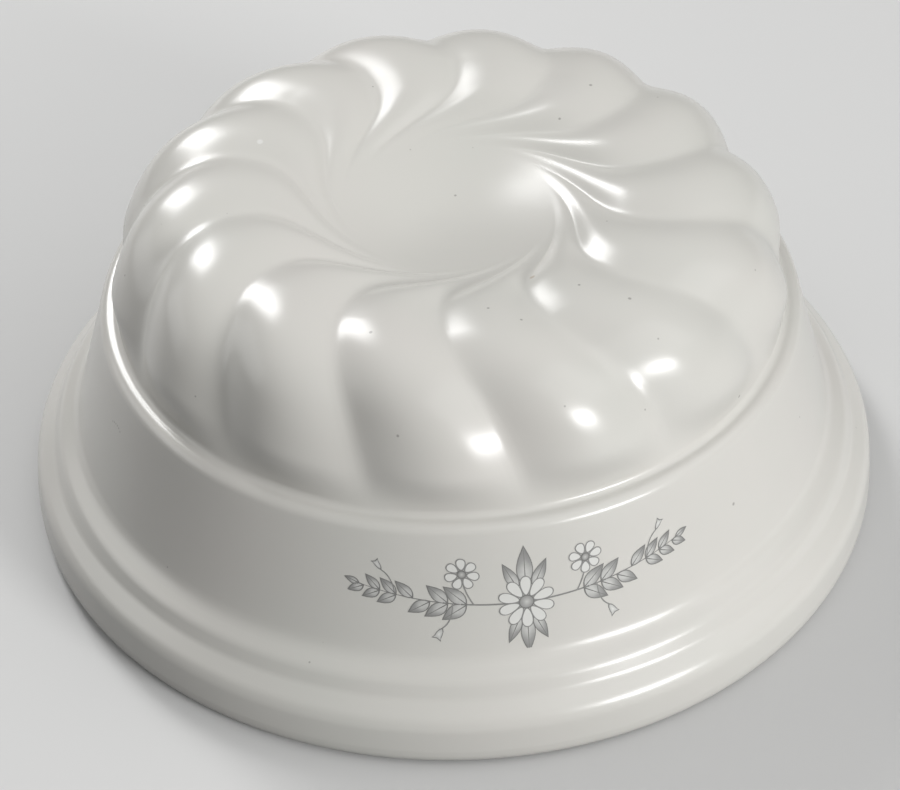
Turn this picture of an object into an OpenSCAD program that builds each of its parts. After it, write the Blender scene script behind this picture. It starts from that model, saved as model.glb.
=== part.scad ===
// Gelatin mould in glazed stoneware: a flanged band below a swirled, fluted dome with a dimple.
// It stands on its rim with the cavity facing down. The origin is at the centre of the foot.

/* [Rim] */
// Diameter over the rim
rim_d = 210; // [208:0.5:224]
// Width of the flat ring that the mould stands on
foot_w = 4; // [3:0.5:7]
// Height of the widest place round the rim
edge_h = 4.8; // [4.2:0.1:6]
// Rounding below the rim's edge
edge_fillet = 3.4; // [1:0.2:3.6]
// Rounding of the foot's inner edge
foot_fillet = 1; // [0.4:0.1:1.4]
// Inset of the flange's brow from the rim
flange_inset = 0.7; // [0.4:0.1:2]
// Height of the flange's brow
flange_h = 12.3; // [11:0.1:13]
// Rounding of the flange's brow
flange_fillet = 6; // [1:0.5:8]

/* [Step and band] */
// Radius of the groove between the flange and the step
groove_r = 99.7; // [99:0.1:100.5]
// Height of the groove
groove_h = 16.3; // [15:0.1:17.4]
// Rounding in the groove
groove_fillet = 2.5; // [0.5:0.1:3]
// Radius of the step's edge above the groove
step_r = 97.8; // [96:0.1:98.4]
// Height of the step's edge
step_h = 19.8; // [18.8:0.1:21.5]
// Rounding of the step's edge
step_fillet = 1; // [0.4:0.1:1.4]
// Radius of the band at its foot
band_foot_r = 93.2; // [91:0.1:94.5]
// Height of the band's foot, above the sloping ledge
band_foot_h = 22.6; // [21.8:0.1:25]
// Radius of the hollow between the ledge and the band
band_fillet = 6; // [2:0.5:8]
// Radius of the shoulder's outer edge
shoulder_r = 84.2; // [83.8:0.1:87]
// Height of the shoulder's outer edge
shoulder_h = 54.4; // [48:0.1:60]
// Rise of the shoulder's ledge towards the dome
shoulder_rise = 0.3; // [0.1:0.1:1.2]
// Rounding of the shoulder's outer edge
shoulder_fillet = 1.6; // [0.6:0.1:1.8]
// Rounding of the corners inside the band
inner_fillet = 2; // [1:0.5:3]
// Wall thickness all over
wall = 5; // [4:0.1:5.5]

/* [Dome] */
// Radius of the dome where it stands on the shoulder
dome_r = 80.5; // [78:0.1:80.8]
// Radius of the hollow between the shoulder and the dome
dome_fillet = 2.2; // [0.8:0.1:2.6]
// Height of the crown's ring over the shoulder, in the grooves
crown_rise = 30.2; // [26:0.1:40]
// Radius of the crown's ring
crown_r = 60; // [54:0.5:64]
// Radius at which the wall would reach the crown's height if it went straight up from its foot
brow_r = 71.5; // [66:0.5:77]
// Depth of the dimple's middle below the crown's ring
dimple_depth = 10; // [2:0.1:14]
// Radius at which the lobes have run out in the dimple
dimple_r = 26; // [20:0.5:34]

/* [Lobes] */
// Number of lobes round the dome
lobes = 14; // [10:1:16]
// Height of the lobes over the grooves between them
lobe_rise = 2.6; // [1:0.1:4]
// Roundness of the grooves, as a share of the lobe
groove_blend = 0.25; // [0.1:0.05:0.6]
// Share of the wall's height over which the lobes rise from the shoulder
lobe_start = 0.25; // [0.1:0.01:0.5]
// Share of the way into the dimple after which the lobes sink
lobe_end = 0.4; // [0.1:0.01:0.8]
// Turn of the grooves from the shoulder to the crown, clockwise from above
wall_turn = 13.5; // [0:0.5:30]
// Share of that turn by which it runs ahead low on the wall
turn_ease = 0.2; // [0:0.05:0.4]
// Further turn past the crown, the same way
crown_turn = 2.5; // [0:0.5:6]
// Turn of the grooves from the crown into the dimple, the other way
dimple_turn = 60; // [0:1:66]
// Lateness of that turn: more keeps it for the last stretch
turn_lateness = 5; // [2:0.5:6]
// Compass angle of the first groove at the shoulder
first_groove = -128.8; // [-180:0.2:180]

/* [Hidden] */
$fa = 2;
$fs = 0.4;

rim_r = rim_d / 2;
foot_in_r = rim_r - edge_fillet - foot_w;
corner_steps = 6;
// Samples per lobe round the dome, and rows up its wall, down its dimple and across the dimple's middle
lobe_steps = 8;
wall_rows = 12;
dimple_rows = 9;
middle_rows = 3;
ring_steps = lobes * lobe_steps;
// Depth to which the dome's foot is bedded in the shoulder
bed = 1.2;
// Small steps that keep the dome's facets inside the shoulder's round walls
facet_gap = 0.12;
crown_h = shoulder_h + crown_rise;
ledge_h = shoulder_h + shoulder_rise;
// Collar on the shoulder in which the dome stands: its height, and its lean with the dome's wall
collar_h = 1.5 * dome_fillet;
collar_lean = collar_h * (dome_r - brow_r) / (crown_h - ledge_h);

// Unit vector from one point towards another
function toward(from, to) = (to - from) / norm(to - from);

// Points of the round that replaces a corner between two neighbours
function rounded_corner(before, corner, after, r) =
    let (a = toward(corner, before), b = toward(corner, after),
         half = acos(a * b) / 2,
         reach = r / tan(half),
         centre = corner + toward([0, 0], a + b) * r / sin(half),
         start = corner + a * reach - centre,
         sweep = 180 - 2 * half,
         side = a[0] * b[1] - a[1] * b[0] > 0 ? -1 : 1)
    [for (i = [0 : corner_steps])
        let (t = side * sweep * i / corner_steps)
        centre + [start[0] * cos(t) - start[1] * sin(t), start[0] * sin(t) + start[1] * cos(t)]];

// A closed outline whose corners are [radius, height, rounding]
function rounded_outline(corners) =
    let (n = len(corners), at = function (i) [corners[(i + n) % n][0], corners[(i + n) % n][1]])
    [for (i = [0 : n - 1])
        each corners[i][2] > 0
            ? rounded_corner(at(i - 1), at(i), at(i + 1), corners[i][2])
            : [at(i)]];

// Section of the rim, the band and the shoulder
band_section = rounded_outline([
    [foot_in_r, 0, foot_fillet],
    [rim_r, 0, edge_fillet],
    [rim_r, edge_h, flange_fillet],
    [rim_r - flange_inset, flange_h, flange_fillet],
    [groove_r, groove_h, groove_fillet],
    [step_r, step_h, step_fillet],
    [band_foot_r, band_foot_h, band_fillet],
    [shoulder_r, shoulder_h, shoulder_fillet],
    [dome_r - facet_gap, ledge_h, dome_fillet],
    [dome_r - facet_gap - collar_lean, ledge_h + collar_h, 0],
    [dome_r - wall - collar_lean, ledge_h + collar_h, 0],
    [dome_r - wall, shoulder_h - wall, 0],
    [shoulder_r - wall, shoulder_h - wall, inner_fillet],
    [band_foot_r - wall, band_foot_h - wall, inner_fillet],
    [step_r - wall, step_h - wall, inner_fillet]]);

// Height of a lobe over its grooves, from 0 to 1, at a place across it from 0 to 1
function lobe_height(across) =
    let (k = groove_blend, s = sin(180 * across))
    (sqrt(s * s + k * k) - k) / (sqrt(1 + k * k) - k);

function smooth(t) = t <= 0 ? 0 : t >= 1 ? 1 : t * t * (3 - 2 * t);

// Dome rows as [radius, height, share of the lobes' rise, turn of the grooves]
function wall_row(t) =
    [(1 - t) * (1 - t) * dome_r + 2 * t * (1 - t) * brow_r + t * t * crown_r,
     ledge_h + (crown_h - ledge_h) * t * (2 - t),
     smooth(t / lobe_start),
     -wall_turn * t * (1 + turn_ease * (1 - t * t))];
function dimple_row(r) =
    let (t = min(1, (crown_r - r) / (crown_r - dimple_r)))
    [r,
     crown_h - dimple_depth * (1 + cos(180 * r / crown_r)) / 2,
     1 - smooth((t - lobe_end) / (1 - lobe_end)),
     dimple_turn * pow(t, turn_lateness) - wall_turn - crown_turn * (1 - pow(1 - t, 3))];
rows = concat(
    [for (i = [1 : wall_rows]) wall_row(i / wall_rows)],
    [for (i = [1 : dimple_rows]) dimple_row(crown_r + (dimple_r - crown_r) * i / dimple_rows)],
    [for (i = [middle_rows : -1 : 1]) dimple_row(dimple_r * i / (middle_rows + 1))]);

// Outward direction across the rows at each row
function row_normal(i) =
    let (a = rows[max(i - 1, 0)], b = rows[min(i + 1, len(rows) - 1)],
         along = toward([a[0], a[1]], [b[0], b[1]]))
    [along[1], -along[0]];

// Compass angle of the place a number of lobes after the first groove
function lobe_angle(place) = first_groove + 360 * place / lobes;

// One ring of the dome, set in from the outer face by depth
function dome_ring(i, depth) =
    let (row = rows[i], across = row_normal(i))
    [for (k = [0 : ring_steps - 1])
        let (out = lobe_rise * row[2] * lobe_height((k % lobe_steps) / lobe_steps) - depth,
             r = row[0] + across[0] * out,
             angle = lobe_angle(k / lobe_steps) + row[3])
        [r * cos(angle), r * sin(angle), row[1] + across[1] * out]];

// A plain ring that starts or ends a skin of the dome
function plain_ring(r, z) =
    [for (k = [0 : ring_steps - 1])
        let (angle = lobe_angle(k / lobe_steps)) [r * cos(angle), r * sin(angle), z]];

outer_rings = concat([plain_ring(dome_r - facet_gap, shoulder_h - bed)],
    [for (i = [0 : len(rows) - 1]) dome_ring(i, 0)]);
inner_rings = concat([plain_ring(dome_r - wall + facet_gap, shoulder_h - bed)],
    [for (i = [1 : len(rows) - 1]) dome_ring(i, wall)]);

// Triangles between neighbouring rings, with the first ring at an offset in the point list
function skin(rings, offset, flip) =
    [for (j = [0 : rings - 2], k = [0 : ring_steps - 1])
        let (a = offset + j * ring_steps + k,
             b = offset + j * ring_steps + (k + 1) % ring_steps,
             c = a + ring_steps,
             d = b + ring_steps)
        each flip ? [[a, b, d], [a, d, c]] : [[a, d, b], [a, c, d]]];

// Triangles from the last ring of a skin to the point at its centre
function cap(ring_start, centre, flip) =
    [for (k = [0 : ring_steps - 1])
        let (a = ring_start + k, b = ring_start + (k + 1) % ring_steps)
        flip ? [a, b, centre] : [a, centre, b]];

module dome() {
    outer_count = len(outer_rings) * ring_steps;
    inner_count = len(inner_rings) * ring_steps;
    floor_h = crown_h - dimple_depth;
    points = concat([for (ring = outer_rings) each ring], [for (ring = inner_rings) each ring],
        [[0, 0, floor_h], [0, 0, floor_h - wall]]);
    foot = [for (k = [0 : ring_steps - 1])
        let (next = (k + 1) % ring_steps)
        each [[k, next, outer_count + next], [k, outer_count + next, outer_count + k]]];
    faces = concat(
        skin(len(outer_rings), 0, false),
        cap(outer_count - ring_steps, outer_count + inner_count, false),
        skin(len(inner_rings), outer_count, true),
        cap(outer_count + inner_count - ring_steps, outer_count + inner_count + 1, true),
        foot);
    polyhedron(points, faces, convexity = 6);
}

module band() {
    rotate_extrude() polygon(band_section);
}

module mold() {
    color("#dadbd2") union() {
        band();
        dome();
    }
}

mold();
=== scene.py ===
import math

import bpy
from mathutils import Matrix, Vector
from mathutils.bvhtree import BVHTree


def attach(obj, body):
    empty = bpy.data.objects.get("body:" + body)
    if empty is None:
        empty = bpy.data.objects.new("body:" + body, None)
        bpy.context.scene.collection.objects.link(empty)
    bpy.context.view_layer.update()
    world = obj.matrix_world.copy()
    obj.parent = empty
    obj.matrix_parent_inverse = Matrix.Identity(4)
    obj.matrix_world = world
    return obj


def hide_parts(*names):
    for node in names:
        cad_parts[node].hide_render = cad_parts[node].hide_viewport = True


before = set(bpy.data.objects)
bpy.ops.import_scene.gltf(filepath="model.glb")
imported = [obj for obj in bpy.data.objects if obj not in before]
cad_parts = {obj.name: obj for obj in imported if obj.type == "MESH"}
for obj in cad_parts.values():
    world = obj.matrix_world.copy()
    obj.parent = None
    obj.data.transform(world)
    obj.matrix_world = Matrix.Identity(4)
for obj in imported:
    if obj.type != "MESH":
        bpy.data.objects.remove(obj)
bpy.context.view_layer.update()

# Lengths are in metres, and angles in degrees unless a note says radians.
# The mould stands on its rim at z = 0.

rim = {
    "radius": 0.105,
    "footWidth": 0.004,
    "footRound": 0.001,
    "outerStart": 0.5,      # shares of the foot's width at which the outer face starts
    "innerEnd": 0.4,        # and the inner face ends
    "edgeHeight": 0.0048,
    "edgeRound": 0.0034,
    "flangeRadius": 0.1043,
    "flangeHeight": 0.0123,
    "flangeRound": 0.006,
}

band = {
    "grooveRadius": 0.0997,
    "grooveHeight": 0.0163,
    "grooveRound": 0.0045,
    "stepRadius": 0.0978,
    "stepHeight": 0.0198,
    "stepRound": 0.005,
    "footRadius": 0.0932,
    "footHeight": 0.0226,
    "footRound": 0.006,
    "shoulderRadius": 0.0842,
    "shoulderHeight": 0.0544,
    "shoulderRound": 0.0031,
    "shoulderRise": 0.0003,
    "wall": 0.005,
    "innerDomeRound": 0.0006,       # rounds of the corners inside, from the dome down to the step
    "innerShoulderRound": 0.002,
    "innerFootRound": 0.003,
    "innerStepRound": 0.002,
    "roundSteps": 7,        # stretches on each rounded corner
    "longest": 0.004,       # longest stretch between two rings
}

dome = {
    "footRadius": 0.0805,
    "footRound": 0.0018,
    "collar": 1.5,          # height that the foot's rounding may take, in times its radius
    "wallHandle": (0.077, 0.069),       # the curve of the grooves leaves its foot towards here
    "browHandle": (0.073, 0.0845),      # and reaches the crown from here
    "crown": (0.053, 0.0845),
    "dimpleDepth": 0.0095,  # in the middle
    "dimpleRadius": 0.024,  # where the lobes have run out
    "lobes": 14,
    "lobeRise": 0.0033,
    "crownLobeRise": 0.0019,
    "grooveBlend": 0.17,    # roundness of the grooves, as a share of the lobe
    "lobeStart": 0.25,      # share of the wall over which the lobes rise
    "lobeEnd": 0.35,        # share of the way into the dimple after which they sink
    "wallTurn": 15.0,       # clockwise from above, up the wall
    "turnEase": 0.35,       # share of that turn by which it runs ahead low on the wall
    "crownTurn": 1.5,       # further turn past the crown, the same way
    "dimpleTurn": 66.0,     # and back again into the dimple
    "turnLateness": 4,      # more keeps that turn for the last stretch
    "firstGroove": -128.8,
    "lobeSteps": 20,        # columns across each lobe
    "wallStart": 0.045,     # share of the wall below the first row, in the rounding of its foot
    "wallRows": 46,
    "dimpleRows": 46,
    "middleRows": 12,
}

columns = dome["lobes"] * dome["lobeSteps"]
footInRadius = rim["radius"] - rim["edgeRound"] - rim["footWidth"]
ledgeHeight = band["shoulderHeight"] + band["shoulderRise"]


def smooth(t):
    t = min(max(t, 0.0), 1.0)
    return t * t * (3 - 2 * t)


def roundedCorner(before, corner, after, radius, steps):
    a = (before - corner).normalized()
    b = (after - corner).normalized()
    half = a.angle(b) / 2
    centre = corner + (a + b).normalized() * radius / math.sin(half)
    start = corner + a * radius / math.tan(half) - centre
    side = -1 if a.x * b.y - a.y * b.x > 0 else 1
    sweep = side * (math.pi - 2 * half)
    turned = [Matrix.Rotation(sweep * i / steps, 2) @ start for i in range(steps + 1)]
    return [centre + point for point in turned]


def openPath(corners, steps):
    # a path through [radius, height, rounding], whose two ends stay sharp
    points = [Vector(corner[:2]) for corner in corners]
    path = [points[0]]
    for i in range(1, len(points) - 1):
        if corners[i][2] > 0:
            path += roundedCorner(points[i - 1], points[i], points[i + 1], corners[i][2], steps)
        else:
            path.append(points[i])
    return path + [points[-1]]


def shareLongStretches(path, longest):
    finer = [path[0]]
    for point in path[1:]:
        last = finer[-1].copy()
        pieces = max(1, math.ceil((point - last).length / longest))
        finer += [last.lerp(point, (i + 1) / pieces) for i in range(pieces)]
    return finer


def outerSection():
    # from the foot ring, out round the rim and up to the dome's foot
    wallLean = (dome["footRadius"] - dome["wallHandle"][0]) / (dome["wallHandle"][1] - ledgeHeight)
    collar = dome["footRound"] * dome["collar"]
    corners = [
        [footInRadius + rim["footWidth"] * rim["outerStart"], 0, 0],
        [rim["radius"], 0, rim["edgeRound"]],
        [rim["radius"], rim["edgeHeight"], rim["flangeRound"]],
        [rim["flangeRadius"], rim["flangeHeight"], rim["flangeRound"]],
        [band["grooveRadius"], band["grooveHeight"], band["grooveRound"]],
        [band["stepRadius"], band["stepHeight"], band["stepRound"]],
        [band["footRadius"], band["footHeight"], band["footRound"]],
        [band["shoulderRadius"], band["shoulderHeight"], band["shoulderRound"]],
        [dome["footRadius"], ledgeHeight, dome["footRound"]],
        [dome["footRadius"] - collar * wallLean, ledgeHeight + collar, 0],
    ]
    path = openPath(corners, band["roundSteps"])[:-1]       # the dome's first row stands for its end
    return shareLongStretches(path, band["longest"])


def innerSection():
    # from the dome's inner foot, down the inside to the foot ring
    wall = band["wall"]
    corners = [
        [dome["footRadius"] - wall, ledgeHeight, 0],
        [dome["footRadius"] - wall, band["shoulderHeight"] - wall, band["innerDomeRound"]],
        [band["shoulderRadius"] - wall, band["shoulderHeight"] - wall, band["innerShoulderRound"]],
        [band["footRadius"] - wall, band["footHeight"] - wall, band["innerFootRound"]],
        [band["stepRadius"] - wall, band["stepHeight"] - wall, band["innerStepRound"]],
        [footInRadius, 0, rim["footRound"]],
        [footInRadius + rim["footWidth"] * rim["innerEnd"], 0, 0],
    ]
    return shareLongStretches(openPath(corners, band["roundSteps"]), band["longest"])


def domeRows():
    # each row is radius, height, rise of the lobes and turn of the grooves
    rows = []
    foot = Vector((dome["footRadius"], ledgeHeight))
    wallHandle = Vector(dome["wallHandle"])
    browHandle = Vector(dome["browHandle"])
    crown = Vector(dome["crown"])
    for i in range(dome["wallRows"] + 1):
        t = dome["wallStart"] + (1 - dome["wallStart"]) * i / dome["wallRows"]
        u = 1 - t
        place = u ** 3 * foot + 3 * t * u * u * wallHandle + 3 * t * t * u * browHandle + t ** 3 * crown
        climb = (foot.x - place.x) / (foot.x - crown.x)
        turn = -dome["wallTurn"] * climb * (1 + dome["turnEase"] * (1 - climb))
        rise = dome["lobeRise"] + (dome["crownLobeRise"] - dome["lobeRise"]) * smooth(2 * t - 1)
        rows.append((place.x, place.y, rise * smooth(t / dome["lobeStart"]), turn))
    inward = crown.x - dome["dimpleRadius"]
    radii = [crown.x - inward * (i + 1) / dome["dimpleRows"] for i in range(dome["dimpleRows"])]
    radii += [dome["dimpleRadius"] * (1 - i / dome["middleRows"]) for i in range(1, dome["middleRows"])]
    for radius in radii:
        t = min(1.0, (crown.x - radius) / inward)
        height = crown.y - dome["dimpleDepth"] * (1 + math.cos(math.pi * radius / crown.x)) / 2
        turn = dome["dimpleTurn"] * t ** dome["turnLateness"] - dome["crownTurn"] * (1 - (1 - t) ** 3)
        rise = dome["crownLobeRise"] * (1 - smooth((t - dome["lobeEnd"]) / (1 - dome["lobeEnd"])))
        rows.append((radius, height, rise, turn - dome["wallTurn"]))
    return rows


def lobeHeight(across):
    # from 0 in the grooves to 1 on the lobe's ridge
    k = dome["grooveBlend"]
    s = math.sin(math.pi * across)
    return (math.sqrt(s * s + k * k) - k) / (math.sqrt(1 + k * k) - k)


def domeRings(depth):
    # the dome's rings of points, set in from its outer face by a depth
    rows = domeRows()
    rings = []
    for i, (radius, height, rise, turn) in enumerate(rows):
        before = rows[max(i - 1, 0)]
        after = rows[min(i + 1, len(rows) - 1)]
        along = Vector((after[0] - before[0], after[1] - before[1])).normalized()
        ring = []
        for k in range(columns):
            across = (k % dome["lobeSteps"]) / dome["lobeSteps"]
            out = rise * lobeHeight(across) - depth
            r = radius + along.y * out
            angle = math.radians(dome["firstGroove"] + 360 * k / columns + turn)
            ring.append((r * math.cos(angle), r * math.sin(angle), height - along.x * out))
        rings.append(ring)
    return rings


def plainRings(section):
    angles = [math.radians(dome["firstGroove"] + 360 * k / columns) for k in range(columns)]
    return [[(radius * math.cos(a), radius * math.sin(a), height) for a in angles]
            for radius, height in section]


def newPiece(name, vertices, faces):
    mesh = bpy.data.meshes.new(name)
    mesh.from_pydata(vertices, [], faces)
    piece = bpy.data.objects.new(name, mesh)
    bpy.context.collection.objects.link(piece)
    return piece


def shadeSmooth(mesh):
    mesh.polygons.foreach_set("use_smooth", [True] * len(mesh.polygons))
    mesh.update()


def closedSkin(name, rings, firstCentre, lastCentre):
    # one closed mesh of rings, with a fan at each end
    vertices = [point for ring in rings for point in ring] + [firstCentre, lastCentre]
    first = len(vertices) - 2
    last = len(vertices) - 1
    faces = []
    for j in range(len(rings) - 1):
        for k in range(columns):
            a = j * columns + k
            b = j * columns + (k + 1) % columns
            faces.append((a, b, b + columns, a + columns))
    top = (len(rings) - 1) * columns
    for k in range(columns):
        after = (k + 1) % columns
        faces.append((after, k, first))
        faces.append((top + k, top + after, last))
    piece = newPiece(name, vertices, faces)
    piece.data.validate()
    shadeSmooth(piece.data)
    return piece


def makeMouldBody():
    inner = domeRings(band["wall"])[::-1]
    outer = domeRings(0.0)
    rings = inner + plainRings(innerSection()) + plainRings(outerSection()) + outer
    dimpleHeight = dome["crown"][1] - dome["dimpleDepth"]
    body = closedSkin("mouldBody", rings, (0, 0, dimpleHeight - band["wall"]), (0, 0, dimpleHeight))
    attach(body, "root")
    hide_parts("mold")
    return body


glaze = {
    "colour": (0.585, 0.59, 0.55, 1),
    "warmColour": (0.625, 0.60, 0.57, 1),
    "roughness": 0.25,
    "smoothest": -0.02,     # by how much the roughness differs over the patches
    "roughest": 0.03,
    "patchScale": 22.0,
    "patchDetail": 3,
    "rippleScale": 90.0,
    "rippleDetail": 1,
    "rippleHeight": 0.00004,
    "speckColour": (0.12, 0.11, 0.10, 1),
    "rustColour": (0.36, 0.27, 0.18, 1),
    "paleSpotColour": (0.72, 0.72, 0.70, 1),
    # compass angle, radius and size of each speck, as seen from above
    "specks": ((-108, 0.0570, 0.0005), (47, 0.0518, 0.0005), (-54, 0.0489, 0.0004),
               (-48, 0.0594, 0.0005), (-80, 0.0477, 0.0004), (-73, 0.0530, 0.0004),
               (-99, 0.0765, 0.0004), (45, 0.0386, 0.0004), (79, 0.0086, 0.0004)),
    "rustSpots": ((-60, 0.0372, 0.0008),),
    "paleSpots": ((158, 0.0484, 0.0009),),
    # compass angle, height and size, as seen from the side
    "sideSpecks": ((-44, 0.0388, 0.0005), (-35.6, 0.0585, 0.0005)),
    "nicks": ((-156.4, 0.0441, 0.0003), (-155.8, 0.0445, 0.0003), (-155.2, 0.0447, 0.0003),
              (-154.6, 0.0448, 0.0003), (-154.0, 0.0447, 0.0003), (-153.4, 0.0444, 0.0003)),
    # the spots in the order in which they lie over each other: places, colour, cover, seen from the side
    "spotLayers": (("specks", "speckColour", 0.5, False), ("sideSpecks", "speckColour", 0.5, True),
                   ("nicks", "speckColour", 0.4, True), ("rustSpots", "rustColour", 0.55, False),
                   ("paleSpots", "paleSpotColour", 0.8, False)),
    "spotCore": 0.55,       # share of a spot's size inside which it is full
    "fineSpeckScale": 330.0,
    "fineSpeckShare": 0.035,        # share of the cells that have one
    "fineSpeckSize": 0.10,          # of a cell
    "fineSpeckCore": 0.05,
    "fineSpeckCover": 0.45,
}


def newMaterial(name):
    material = bpy.data.materials.new(name)
    material.use_nodes = True
    tree = material.node_tree
    return material, tree.nodes, tree.links, tree.nodes["Principled BSDF"]


def newMath(nodes, operation):
    node = nodes.new("ShaderNodeMath")
    node.operation = operation
    return node


def newColourMix(nodes):
    # sockets of a mix of two colours: factor, first colour, second colour and result
    mix = nodes.new("ShaderNodeMix")
    mix.data_type = "RGBA"
    return mix.inputs[0], mix.inputs[6], mix.inputs[7], mix.outputs[2]


def outerPlace(tree, angle, measure, fromSide):
    # the outermost surface point at a compass angle, and at a height or a radius
    outward = Vector((math.cos(math.radians(angle)), math.sin(math.radians(angle)), 0))
    if fromSide:
        return tree.ray_cast(outward + Vector((0, 0, measure)), -outward)[0]
    return tree.ray_cast(outward * measure + Vector((0, 0, 1)), Vector((0, 0, -1)))[0]


def spotMask(nodes, links, tree, spots, fromSide):
    # 1 inside any of the spots, with soft edges
    place = nodes.new("ShaderNodeTexCoord")
    mask = None
    for angle, measure, size in spots:
        reach = nodes.new("ShaderNodeVectorMath")
        reach.operation = "DISTANCE"
        reach.inputs[1].default_value = outerPlace(tree, angle, measure, fromSide)
        links.new(place.outputs["Object"], reach.inputs[0])
        edge = nodes.new("ShaderNodeMapRange")
        edge.inputs["From Min"].default_value = size * glaze["spotCore"]
        edge.inputs["From Max"].default_value = size
        edge.inputs["To Min"].default_value = 1
        edge.inputs["To Max"].default_value = 0
        links.new(reach.outputs["Value"], edge.inputs["Value"])
        if mask:
            both = newMath(nodes, "MAXIMUM")
            links.new(mask, both.inputs[0])
            links.new(edge.outputs["Result"], both.inputs[1])
            mask = both.outputs["Value"]
        else:
            mask = edge.outputs["Result"]
    return mask


def mixOver(nodes, links, under, mask, colour, cover):
    # lays a colour over another where a mask is 1
    weight = newMath(nodes, "MULTIPLY")
    weight.inputs[1].default_value = cover
    links.new(mask, weight.inputs[0])
    factor, lower, upper, result = newColourMix(nodes)
    upper.default_value = colour
    links.new(weight.outputs["Value"], factor)
    links.new(under, lower)
    return result


def makeGlaze(body):
    material, nodes, links, shader = newMaterial("offWhiteGlaze")
    place = nodes.new("ShaderNodeTexCoord")
    patches = nodes.new("ShaderNodeTexNoise")
    patches.inputs["Scale"].default_value = glaze["patchScale"]
    patches.inputs["Detail"].default_value = glaze["patchDetail"]
    links.new(place.outputs["Object"], patches.inputs["Vector"])
    factor, cool, warm, colour = newColourMix(nodes)
    cool.default_value = glaze["colour"]
    warm.default_value = glaze["warmColour"]
    links.new(patches.outputs["Fac"], factor)
    # the finest pinholes and specks of the body that show through the glaze, thinly strewn
    cells = nodes.new("ShaderNodeTexVoronoi")
    cells.inputs["Scale"].default_value = glaze["fineSpeckScale"]
    links.new(place.outputs["Object"], cells.inputs["Vector"])
    dots = nodes.new("ShaderNodeMapRange")
    dots.inputs["From Min"].default_value = glaze["fineSpeckSize"]
    dots.inputs["From Max"].default_value = glaze["fineSpeckCore"]
    links.new(cells.outputs["Distance"], dots.inputs["Value"])
    pick = nodes.new("ShaderNodeSeparateColor")
    links.new(cells.outputs["Color"], pick.inputs["Color"])
    few = newMath(nodes, "LESS_THAN")
    few.inputs[1].default_value = glaze["fineSpeckShare"]
    links.new(pick.outputs["Red"], few.inputs[0])
    fine = newMath(nodes, "MULTIPLY")
    links.new(dots.outputs["Result"], fine.inputs[0])
    links.new(few.outputs["Value"], fine.inputs[1])
    fineMask = fine.outputs["Value"]
    colour = mixOver(nodes, links, colour, fineMask, glaze["speckColour"], glaze["fineSpeckCover"])
    # the specks and spots that have a place of their own
    tree = BVHTree.FromObject(body, bpy.context.evaluated_depsgraph_get())
    for places, colourName, cover, fromSide in glaze["spotLayers"]:
        mask = spotMask(nodes, links, tree, glaze[places], fromSide)
        colour = mixOver(nodes, links, colour, mask, glaze[colourName], cover)
    links.new(colour, shader.inputs["Base Color"])
    sheen = nodes.new("ShaderNodeMapRange")
    sheen.inputs["To Min"].default_value = glaze["roughness"] + glaze["smoothest"]
    sheen.inputs["To Max"].default_value = glaze["roughness"] + glaze["roughest"]
    links.new(patches.outputs["Fac"], sheen.inputs["Value"])
    links.new(sheen.outputs["Result"], shader.inputs["Roughness"])
    ripples = nodes.new("ShaderNodeTexNoise")
    ripples.inputs["Scale"].default_value = glaze["rippleScale"]
    ripples.inputs["Detail"].default_value = glaze["rippleDetail"]
    links.new(place.outputs["Object"], ripples.inputs["Vector"])
    bump = nodes.new("ShaderNodeBump")
    bump.inputs["Strength"].default_value = 1
    bump.inputs["Distance"].default_value = glaze["rippleHeight"]
    links.new(ripples.outputs["Fac"], bump.inputs["Height"])
    links.new(bump.outputs["Normal"], shader.inputs["Normal"])
    return material


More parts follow.
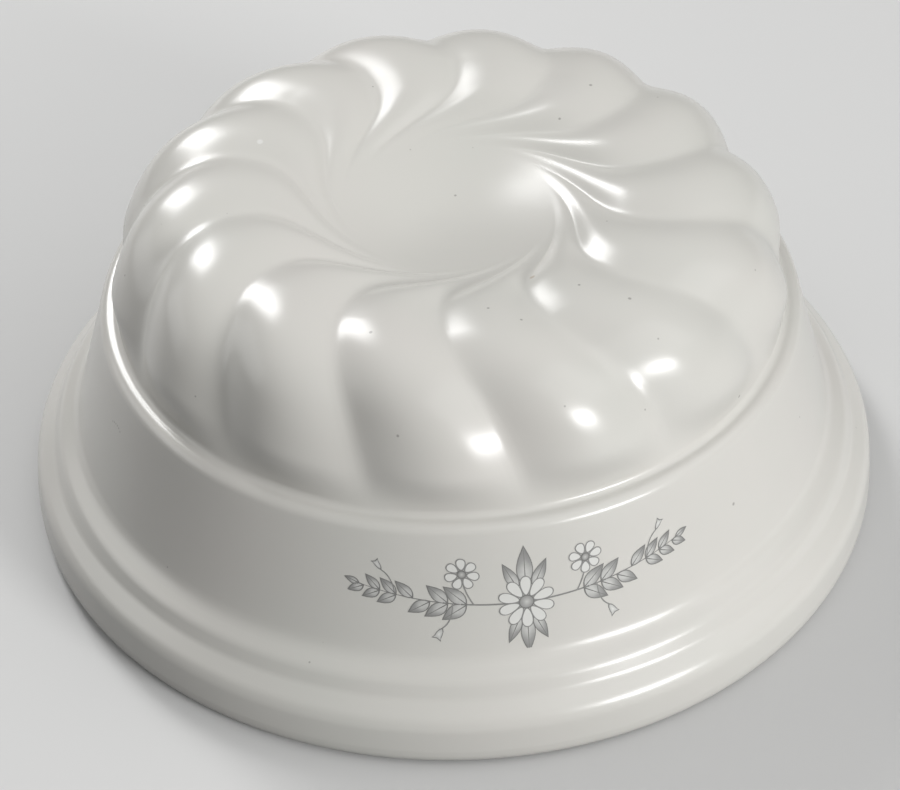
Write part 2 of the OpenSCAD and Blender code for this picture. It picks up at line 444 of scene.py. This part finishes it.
# A tone is 0 for the ink and 1 for the palest of the print.
# Three tones together are those of a shape's edge, of the rest of it and of its middle.
sprig = {
    "angle": -80.0,         # compass angle of its middle on the band
    "height": 0.0385,
    "halfWidth": 0.037,
    "sag": 0.003,           # of the stem's middle
    "sweep": 0.0045,        # rise of the stem's ends over its middle
    "lift": 0.00005,        # over the glaze
    "layer": 0.00003,       # by which the daisies lie over the leaves
    "stemWidth": 0.00042,
    "stemSwell": 1.15,      # times that width in the stem's middle
    "stemTaper": 0.8,       # of which this much is lost at its ends
    "stemSteps": 48,
    "stemTone": 0.32,
    "stalkSteps": 8,
    "stalkTone": 0.35,
    "lineWidth": 0.00022,   # of the outlines
    "lineLimit": 0.45,      # largest share of a small shape that an outline may take
    "lineFade": 1.7,        # times the line's width at which it has faded into the shape
    "leaf": {
        "pairs": 7,
        "gap": 4,           # of so many places, one is left to a bell or a daisy
        "start": 0.0085,    # distance of their places from the sprig's middle
        "margin": 0.0095,   # what their places leave free of the half width
        "crowding": 0.9,    # below 1 they stand closer towards the ends
        "angle": 38,
        "length": 0.0074,
        "shrink": 0.4,      # share of their length that the leaves lose along the stem
        "slender": 0.5,     # width as a share of the length
        "belly": 0.8,       # below 1 the widest place moves towards the base
        "heart": 0.45,      # share of the length at which its middle lies
        "steps": 9,
        "tones": (0.2, 0.3, 0.8),
        "ribWidth": 1.3,    # times the line's width
        "ribTone": 0.2,
        "endAngle": 0.35,   # of the leaf at each end, in radians
        "endShare": 0.5,    # of the length
    },
    "backLeaf": {
        "rays": ((90, 0.0125), (64, 0.0092), (116, 0.0092), (270, 0.0112), (246, 0.0088), (294, 0.0088)),
        "start": 0.55,      # share of the big daisy's radius
        "share": 0.85,      # of the lengths beside their angles above
        "slender": 0.36,
    },
    "bell": {
        "places": ((0.0165, -0.0062, 0.0034), (0.0292, 0.0058, 0.0028)),     # along the stem, rise, length
        "reach": 0.0026,    # of the stalk along the stem
        "bend": 0.0002,     # and of its bend
        "bendShare": 0.75,  # of the rise
        "lean": 0.0034,
        "stalkWidth": 0.7,  # times the stem's width
        "outline": ((0, 0.06), (0.2, 0.3), (0.5, 0.42), (0.8, 0.46), (1, 0.62)),    # width along its length
        "width": 1.1,
        "mouth": 0.9,
        "heart": 0.55,
        "tones": (0.25, 0.75, 0.95),
    },
    "daisy": {
        "bigPetals": 10,
        "bigRadius": 0.0066,
        "smallPetals": 7,
        "smallRadius": 0.0040,
        "smallPlace": 0.0118,       # along the stem
        "smallReach": 0.0022,       # from there to its middle
        "smallRise": 0.0078,
        "smallTurn": 0.2,           # in radians
        "stalkBow": 0.0006,
        "stalkWidth": 0.8,          # times the stem's width
        "petalStart": 0.2,          # shares of the daisy's radius
        "petalLength": 0.8,
        "petalWidth": 0.72,         # share of its place in the round
        "petalFoot": 0.55,          # share of that width at the petal's foot
        "petalSwell": 0.6,          # and what it gains towards its tip
        "petalHeart": 0.5,
        "petalSteps": 11,
        "petalTones": (0.35, 0.97, 1.0),
        "eyeRadius": 0.27,
        "eyeSteps": 18,
        "eyeTones": (0.2, 0.5, 0.78),
    },
    "ink": (0.13, 0.13, 0.125, 1),
    "midInk": (0.33, 0.33, 0.32, 1),
    "pale": (0.68, 0.68, 0.655, 1),
    "inkTone": 0.1,
    "midInkTone": 0.6,
    "paleTone": 1.0,
    "grainScale": 900,
    "grainTone": 0.12,      # by which the grain lightens the print at most
}


def direction(angle):
    return Vector((math.cos(angle), math.sin(angle)))


def leftOf(along):
    return Vector((-along.y, along.x))


class Drawing:
    # flat shapes in metres to the right and up from the sprig's middle, with a tone at each vertex
    def __init__(self):
        self.points = []
        self.tones = []
        self.faces = []
        self.lifts = []
        self.lift = 0

    def add(self, point, tone):
        self.points.append(point)
        self.tones.append(tone)
        self.lifts.append(self.lift)
        return len(self.points) - 1

    def ringed(self, outline, middle, tones, root=None, tip=None):
        # a filled outline with a thin dark edge, in the tone of its middle towards a root if it has one
        edgeTone, fillTone, middleTone = tones
        size = sum((point - middle).length for point in outline) / len(outline)
        inset = min(sprig["lineLimit"], sprig["lineWidth"] / size)
        outer = [self.add(point, edgeTone) for point in outline]
        line = [self.add(middle.lerp(point, 1 - inset), edgeTone) for point in outline]
        inner = []
        for point in outline:
            spot = middle.lerp(point, 1 - sprig["lineFade"] * inset)
            tone = fillTone
            if root:
                share = (spot - root).dot(tip - root) / (tip - root).length_squared
                tone = middleTone + (fillTone - middleTone) * smooth(share)
            inner.append(self.add(spot, tone))
        heart = self.add(middle, middleTone)
        for i in range(len(outline)):
            j = (i + 1) % len(outline)
            self.faces.append((outer[i], outer[j], line[j], line[i]))
            self.faces.append((line[i], line[j], inner[j], inner[i]))
            self.faces.append((inner[i], inner[j], heart))

    def ribbon(self, path, widths, tone):
        rails = []
        for i, point in enumerate(path):
            along = (path[min(i + 1, len(path) - 1)] - path[max(i - 1, 0)]).normalized()
            side = leftOf(along) * widths[i] / 2
            rails.append((self.add(point - side, tone), self.add(point + side, tone)))
        for (a, b), (c, d) in zip(rails, rails[1:]):
            self.faces.append((a, c, d, b))

    def stalk(self, path, width):
        self.ribbon(path, [sprig["stemWidth"] * width] * len(path), sprig["stalkTone"])

    def leaf(self, base, angle, length, slender):
        leaf = sprig["leaf"]
        steps = leaf["steps"]
        along = direction(angle)
        side = leftOf(along)
        shares = [i / steps for i in range(steps + 1)]
        widths = [slender * length / 2 * math.sin(math.pi * share ** leaf["belly"]) for share in shares]
        rib = [base + along * length * i / steps for i in range(steps + 1)]
        near = [rib[i] - side * widths[i] for i in range(steps + 1)]
        far = [rib[i] + side * widths[i] for i in range(1, steps)]
        heart = base + along * length * leaf["heart"]
        self.ringed(near + far[::-1], heart, leaf["tones"], base, base + along * length)
        self.lift += sprig["layer"] / 2
        ribWidths = [sprig["lineWidth"] * (leaf["ribWidth"] - share) for share in shares[:-1]]
        self.ribbon(rib[:-1], ribWidths, leaf["ribTone"])
        self.lift -= sprig["layer"] / 2

    def bell(self, base, angle, length):
        bell = sprig["bell"]
        along = direction(angle)
        side = leftOf(along)
        outline = []
        for t, width in bell["outline"]:
            outline.append(base + along * length * t - side * length * width / 2 * bell["width"])
        outline.append(base + along * length * bell["mouth"])
        for t, width in bell["outline"][::-1]:
            outline.append(base + along * length * t + side * length * width / 2 * bell["width"])
        self.ringed(outline, base + along * length * bell["heart"], bell["tones"])

    def daisy(self, middle, radius, petals, turn):
        daisy = sprig["daisy"]
        steps = daisy["petalSteps"]
        half = math.pi * radius * daisy["petalWidth"] / petals
        edge = [(i, -1) for i in range(steps + 1)] + [(i, 1) for i in range(steps - 1, 0, -1)]
        for k in range(petals):
            along = direction(turn + 2 * math.pi * k / petals)
            side = leftOf(along)
            start = middle + along * radius * daisy["petalStart"]
            outline = []
            for i, way in edge:
                t = math.pi * i / steps
                reach = (1 - math.cos(t)) / 2
                width = daisy["petalFoot"] + daisy["petalSwell"] * reach
                forth = along * radius * daisy["petalLength"] * reach
                outline.append(start + forth + side * way * half * math.sin(t) * width)
            self.ringed(outline, start + along * radius * daisy["petalHeart"], daisy["petalTones"])
        self.lift += sprig["layer"]
        turns = [2 * math.pi * i / daisy["eyeSteps"] for i in range(daisy["eyeSteps"])]
        eye = [middle + direction(a) * radius * daisy["eyeRadius"] for a in turns]
        self.ringed(eye, middle, daisy["eyeTones"])
        self.lift -= sprig["layer"]


def stemPoint(x):
    reach = x / sprig["halfWidth"]
    return Vector((x, sprig["sweep"] * reach * reach - sprig["sag"]))


def mirrored(angle, way):
    return angle if way > 0 else math.pi - angle


def drawStem(drawing):
    half = sprig["halfWidth"]
    steps = sprig["stemSteps"]
    stem = [stemPoint(-half + 2 * half * i / steps) for i in range(steps + 1)]
    widths = [sprig["stemWidth"] * (sprig["stemSwell"] - sprig["stemTaper"] * abs(2 * i / steps - 1))
              for i in range(steps + 1)]
    drawing.ribbon(stem, widths, sprig["stemTone"])


def drawLeaves(drawing, way):
    leaf = sprig["leaf"]
    half = sprig["halfWidth"]
    for k in range(leaf["pairs"]):
        share = (k + 1) / leaf["pairs"]
        x = way * (leaf["start"] + (half - leaf["margin"]) * share ** leaf["crowding"])
        lean = math.atan2(2 * sprig["sweep"] * x / half ** 2 * way, 1)
        length = leaf["length"] * (1 - leaf["shrink"] * share)
        for side in (-1, 1):
            if (k + (side + 1) // 2) % leaf["gap"] == leaf["gap"] - 1:
                continue
            angle = lean + side * math.radians(leaf["angle"])
            drawing.leaf(stemPoint(x), mirrored(angle, way), length, leaf["slender"])
    end = stemPoint(way * half)
    drawing.leaf(end, mirrored(leaf["endAngle"], way), leaf["length"] * leaf["endShare"], leaf["slender"])


def drawBells(drawing, way):
    # bells on curved stalks
    bell = sprig["bell"]
    shares = [i / sprig["stalkSteps"] for i in range(sprig["stalkSteps"] + 1)]
    for x, rise, length in bell["places"]:
        base = stemPoint(way * x)
        tip = base + Vector((way * bell["reach"], rise))
        bend = base + Vector((way * bell["bend"], rise * bell["bendShare"]))
        drawing.stalk([base.lerp(bend, t).lerp(bend.lerp(tip, t), t) for t in shares], bell["stalkWidth"])
        drawing.bell(tip, math.atan2(rise, way * bell["lean"]), length)


def drawSmallDaisy(drawing, way):
    # a small daisy above the stem
    daisy = sprig["daisy"]
    shares = [i / sprig["stalkSteps"] for i in range(sprig["stalkSteps"] + 1)]
    base = stemPoint(way * daisy["smallPlace"])
    middle = base + Vector((way * daisy["smallReach"], daisy["smallRise"]))
    bows = [Vector((way * daisy["stalkBow"] * math.sin(math.pi * t), 0)) for t in shares]
    drawing.stalk([base.lerp(middle, t) + bow for t, bow in zip(shares, bows)], daisy["stalkWidth"])
    drawing.lift = sprig["layer"]
    drawing.daisy(middle, daisy["smallRadius"], daisy["smallPetals"], daisy["smallTurn"] * way)
    drawing.lift = 0


def drawBigDaisy(drawing):
    # the daisy in the middle, with leaves that stand out from behind it
    daisy = sprig["daisy"]
    backLeaf = sprig["backLeaf"]
    for angle, length in backLeaf["rays"]:
        turn = math.radians(angle)
        base = stemPoint(0) + direction(turn) * daisy["bigRadius"] * backLeaf["start"]
        drawing.leaf(base, turn, length * backLeaf["share"], backLeaf["slender"])
    drawing.lift = sprig["layer"]
    drawing.daisy(stemPoint(0), daisy["bigRadius"], daisy["bigPetals"], math.pi / 2)


def makeSprig():
    drawing = Drawing()
    drawStem(drawing)
    for way in (-1, 1):
        drawLeaves(drawing, way)
        drawBells(drawing, way)
        drawSmallDaisy(drawing, way)
    drawBigDaisy(drawing)
    # the drawing is laid round the band's sloping face
    foot = Vector((band["footRadius"], band["footHeight"]))
    shoulder = Vector((band["shoulderRadius"], band["shoulderHeight"]))
    up = (shoulder - foot).normalized()
    outward = Vector((up.y, -up.x))
    middle = foot + up * (sprig["height"] - band["footHeight"]) / up.y
    vertices = []
    for point, lift in zip(drawing.points, drawing.lifts):
        place = middle + up * point.y + outward * (sprig["lift"] + lift)
        angle = math.radians(sprig["angle"]) + point.x / place.x
        vertices.append((place.x * math.cos(angle), place.x * math.sin(angle), place.y))
    piece = newPiece("bandSprig", vertices, drawing.faces)
    tone = piece.data.attributes.new("tone", "FLOAT", "POINT")
    tone.data.foreach_set("value", drawing.tones)
    shadeSmooth(piece.data)
    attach(piece, "root")
    return piece


def makePrintGlaze():
    material, nodes, links, shader = newMaterial("printedGlaze")
    shader.inputs["Roughness"].default_value = glaze["roughness"]
    tone = nodes.new("ShaderNodeAttribute")
    tone.attribute_name = "tone"
    place = nodes.new("ShaderNodeTexCoord")
    grain = nodes.new("ShaderNodeTexNoise")
    grain.inputs["Scale"].default_value = sprig["grainScale"]
    links.new(place.outputs["Object"], grain.inputs["Vector"])
    worn = newMath(nodes, "MULTIPLY_ADD")
    worn.inputs[1].default_value = sprig["grainTone"]
    links.new(grain.outputs["Fac"], worn.inputs[0])
    links.new(tone.outputs["Fac"], worn.inputs[2])
    inks = nodes.new("ShaderNodeValToRGB")
    dark, light = inks.color_ramp.elements
    dark.position = sprig["inkTone"]
    dark.color = sprig["ink"]
    light.position = sprig["paleTone"]
    light.color = sprig["pale"]
    inks.color_ramp.elements.new(sprig["midInkTone"]).color = sprig["midInk"]
    links.new(worn.outputs["Value"], inks.inputs["Fac"])
    links.new(inks.outputs["Color"], shader.inputs["Base Color"])
    return material


studio = {
    "floorSize": 14.0,
    "floorRoughness": 0.7,
    "floorColour": (0.60, 0.60, 0.595, 1),
    "floorBounce": (0.09, 0.09, 0.089, 1),      # what it gives back to the mould, as a dark cloth would
    "skyColour": (1, 1, 1, 1),
    "skyLow": 0.03,         # brightness at the horizon
    "skyHigh": 0.46,        # and overhead
    "aim": (0, 0, 0.05),    # where the softboxes point
    # compass angle, height angle, distance, width, height and power of each softbox
    "softboxes": {
        "softboxBackLeft": (121, 38, 1.3, 0.30, 0.64, 9),
        "softboxFrontRight": (-46, 19, 1.6, 0.52, 0.28, 17),
        "softboxRight": (-24, 50, 2.2, 2.6, 1.8, 15),
        "softboxLeft": (168, 22, 2.2, 1.8, 1.1, 8),
    },
}


def makeFloor():
    half = studio["floorSize"] / 2
    corners = [(-half, -half, 0), (half, -half, 0), (half, half, 0), (-half, half, 0)]
    floor = newPiece("floor", corners, [(0, 1, 2, 3)])
    material, nodes, links, shader = newMaterial("paleFloor")
    shader.inputs["Roughness"].default_value = studio["floorRoughness"]
    # the camera and the reflections see the pale floor, and the mould is lit by its dark bounce
    ray = nodes.new("ShaderNodeLightPath")
    seen = newMath(nodes, "MAXIMUM")
    links.new(ray.outputs["Is Camera Ray"], seen.inputs[0])
    links.new(ray.outputs["Is Glossy Ray"], seen.inputs[1])
    factor, bounce, pale, colour = newColourMix(nodes)
    bounce.default_value = studio["floorBounce"]
    pale.default_value = studio["floorColour"]
    links.new(seen.outputs["Value"], factor)
    links.new(colour, shader.inputs["Base Color"])
    floor.data.materials.append(material)


def makeSky():
    world = bpy.data.worlds.new("studio")
    world.use_nodes = True
    nodes = world.node_tree.nodes
    links = world.node_tree.links
    look = nodes.new("ShaderNodeTexCoord")
    split = nodes.new("ShaderNodeSeparateXYZ")
    links.new(look.outputs["Generated"], split.inputs["Vector"])
    fade = nodes.new("ShaderNodeMapRange")
    fade.inputs["To Min"].default_value = studio["skyLow"]
    fade.inputs["To Max"].default_value = studio["skyHigh"]
    links.new(split.outputs["Z"], fade.inputs["Value"])
    links.new(fade.outputs["Result"], nodes["Background"].inputs["Strength"])
    nodes["Background"].inputs["Color"].default_value = studio["skyColour"]
    bpy.context.scene.world = world
    bpy.context.scene.view_settings.view_transform = "Standard"


def placeSoftbox(name, angle, height, distance, width, tall, power):
    lamp = bpy.data.lights.new(name, "AREA")
    lamp.shape = "RECTANGLE"
    lamp.size = width
    lamp.size_y = tall
    lamp.energy = power
    stand = bpy.data.objects.new(name, lamp)
    level = math.cos(math.radians(height)) * distance
    stand.location = (level * math.cos(math.radians(angle)), level * math.sin(math.radians(angle)),
                      math.sin(math.radians(height)) * distance)
    aim = Vector(studio["aim"]) - stand.location
    stand.rotation_euler = aim.to_track_quat("-Z", "Y").to_euler()
    bpy.context.collection.objects.link(stand)


camera = {
    "lens": 107.06,
    "sensor": 36.0,
    "nearest": 0.01,        # nearer things aren't seen
    "distance": 0.6838,     # from the middle of the mould's foot
    "height": 42.54,        # angle over the floor
    "swing": -0.069,        # aim to the side
    "dip": 41.31,           # aim below the level
    "roll": -1.176,
}


def placeCamera():
    lens = bpy.data.cameras.new("camera")
    lens.lens = camera["lens"]
    lens.sensor_width = camera["sensor"]
    lens.clip_start = camera["nearest"]
    height = math.radians(camera["height"])
    swing = math.radians(camera["swing"])
    dip = math.radians(camera["dip"])
    roll = math.radians(camera["roll"])
    forward = Vector((math.sin(swing) * math.cos(dip), math.cos(swing) * math.cos(dip), -math.sin(dip)))
    level = forward.cross(Vector((0, 0, 1))).normalized()
    upright = level.cross(forward)
    right = level * math.cos(roll) + upright * math.sin(roll)
    up = upright * math.cos(roll) - level * math.sin(roll)
    stand = bpy.data.objects.new("camera", lens)
    turn = Matrix((right, up, -forward)).transposed().to_4x4()
    back = camera["distance"]
    stand.matrix_world = Matrix.Translation((0, -back * math.cos(height), back * math.sin(height))) @ turn
    bpy.context.collection.objects.link(stand)
    bpy.context.scene.camera = stand


placeCamera()
print("camera in place")
mouldBody = makeMouldBody()
print("mould body shaped")
bandSprig = makeSprig()
bandSprig.data.materials.append(makePrintGlaze())
print("sprig printed on the band")
mouldBody.data.materials.append(makeGlaze(mouldBody))
print("mould body glazed")
makeFloor()
makeSky()
for name, settings in studio["softboxes"].items():
    placeSoftbox(name, *settings)
print("studio lit")
